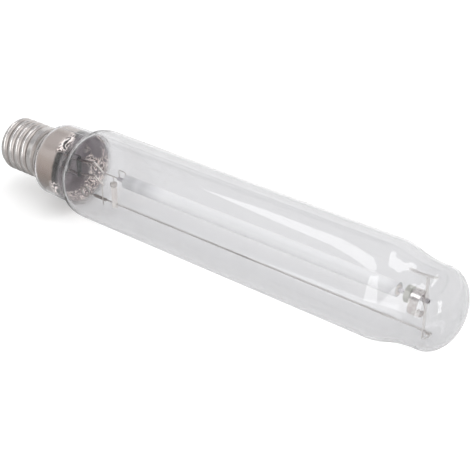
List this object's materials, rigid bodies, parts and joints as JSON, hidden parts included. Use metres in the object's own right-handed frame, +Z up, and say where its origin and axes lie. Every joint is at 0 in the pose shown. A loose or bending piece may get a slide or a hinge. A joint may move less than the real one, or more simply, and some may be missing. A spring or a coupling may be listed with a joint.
{
  "type": "grow light bulb",
  "caption": "Clear tubular high-pressure discharge grow lamp: large rolled screw cap, narrowed neck, long glass tube with a domed end, and a ceramic light source on a wire frame inside.",
  "frame": {"origin": "centre of the centre contact's flat face, at the cap end, on the lamp's axis", "axes": "+X along the lamp's axis from the contact to the dome's tip, +Z up; the frame rod lies below the axis in plane XZ, and the light source just above it"},
  "size_m": [0.3835, 0.0654, 0.0654],
  "materials": {
    "plated_brass": "nickel-plated, satin with a warm cast",
    "black_glass": "moulded, glossy black",
    "brass": "stamped, bright",
    "tin": "soft solder, dull bright",
    "cement": "fired basing cement, matt",
    "clear_glass": "clear hard glass, fire-polished",
    "stem_glass": "clear, pressed",
    "copper": "drawn copper wire",
    "nickel_wire": "drawn nickel, bright",
    "steel_wire": "nickel-plated steel rod",
    "dark_steel": "heat-darkened steel",
    "white_ceramic": "fired, matt white",
    "grey_ceramic": "fired, matt green-grey",
    "alumina": "translucent sintered alumina",
    "niobium": "drawn niobium, satin grey",
    "tungsten": "tungsten, coated coil",
    "spring_steel": "stainless strip, bright"
  },
  "bodies": {
    "root": {"screw_shell": "plated_brass", "cap_insulator": "black_glass", "centre_contact": "brass", "contact_solder": "tin", "basing_cement": "cement", "outer_bulb": "clear_glass", "stem_flare": "stem_glass", "exhaust_tube": "stem_glass", "centre_lead": "copper", "side_lead": "copper", "side_lead_solder": "tin", "arc_tube_post": "nickel_wire", "arc_tube_lead": "nickel_wire", "frame_post": "nickel_wire", "frame_lead": "nickel_wire", "frame_rod": "steel_wire", "rod_sleeve": "dark_steel", "getter_ring": "dark_steel", "getter_wire": "steel_wire", "ceramic_strut": "white_ceramic", "strut_ferrule": "dark_steel", "strut_wire": "nickel_wire", "dome_strap": "spring_steel", "dome_spring_upper": "spring_steel", "dome_spring_lower": "spring_steel", "expansion_loop": "spring_steel", "arc_tube": "alumina", "arc_plug_stem": "white_ceramic", "arc_plug_dome": "white_ceramic", "niobium_tube_stem": "niobium", "niobium_tube_dome": "niobium", "electrode_stem": "tungsten", "electrode_dome": "tungsten", "lead_hoop": "nickel_wire", "slide_bush": "grey_ceramic"}
  },
  "joints": []
}
